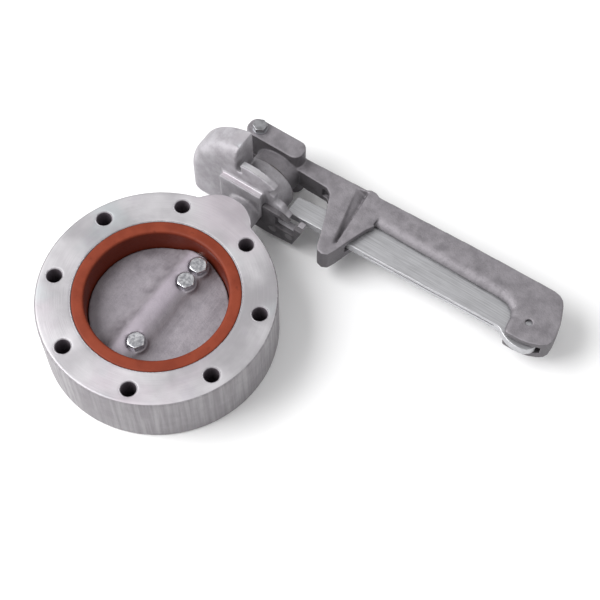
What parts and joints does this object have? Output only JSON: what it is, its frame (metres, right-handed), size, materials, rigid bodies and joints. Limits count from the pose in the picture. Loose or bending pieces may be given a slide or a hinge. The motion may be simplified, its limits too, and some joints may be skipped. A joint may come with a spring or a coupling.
{
  "type": "butterfly valve",
  "caption": "Wafer butterfly valve for a bulk tanker: cast ring with a rubber seat, pinned disc, stem, drum head, and a cast handle with a squeeze latch lever.",
  "frame": {"origin": "centre of the back flange face, on the pipe axis", "axes": "+X along the handle with the valve closed, +Y along the stem towards the handle, +Z along the pipe axis towards the front flange face"},
  "size_m": [0.332, 0.2585, 0.081],
  "materials": {
    "cast_body": "machined faces, as-cast sides",
    "notch_plate": "dark, slightly rough",
    "seat_rubber": "matt red-brown",
    "disc_casting": "satin",
    "stem_steel": "ground",
    "bush_bronze": "turned",
    "o_ring_rubber": "matt black",
    "zinc_fastener": "bright zinc",
    "handle_casting": "sand cast, matt",
    "lever_steel": "rolled strip, bright edges",
    "pin_steel": "plain"
  },
  "bodies": {
    "valve": {"valve_body": "cast_body", "notch_plate": "notch_plate", "notch_plate_screws": "pin_steel", "seat": "seat_rubber", "neck_bush": "bush_bronze", "head_bush": "bush_bronze", "lower_bush": "bush_bronze", "stem_o_rings": "o_ring_rubber", "thrust_washer": "bush_bronze"},
    "rotor": {"disc": "disc_casting", "upper_stem": "stem_steel", "lower_stem": "stem_steel", "disc_bolts": "zinc_fastener", "disc_lock_washers": "zinc_fastener", "disc_nuts": "zinc_fastener", "handle": "handle_casting", "clamp_bolt": "zinc_fastener", "clamp_washer": "zinc_fastener", "stem_end_bolt": "zinc_fastener", "stem_end_washer": "zinc_fastener", "lever_pivot_pin": "pin_steel", "pivot_pin_clip": "pin_steel", "lever_spring": "pin_steel"},
    "latch": {"squeeze_lever": "lever_steel", "spring_guide_pin": "pin_steel"}
  },
  "joints": [
    {"name": "handle_turn", "type": "hinge", "parent": "valve", "child": "rotor", "pos_m": [0, 0, 0.025], "axis": [0, -1, 0], "range_deg": [0, 90]},
    {"name": "latch_squeeze", "type": "hinge", "parent": "rotor", "child": "latch", "pos_m": [0.225, 0.137, 0.025], "axis": [0, 0, -1], "range_deg": [0, 3.4], "stiffness_Nm_per_rad": 4, "springref_deg": -8.59, "deforming": ["lever_spring"]}
  ]
}
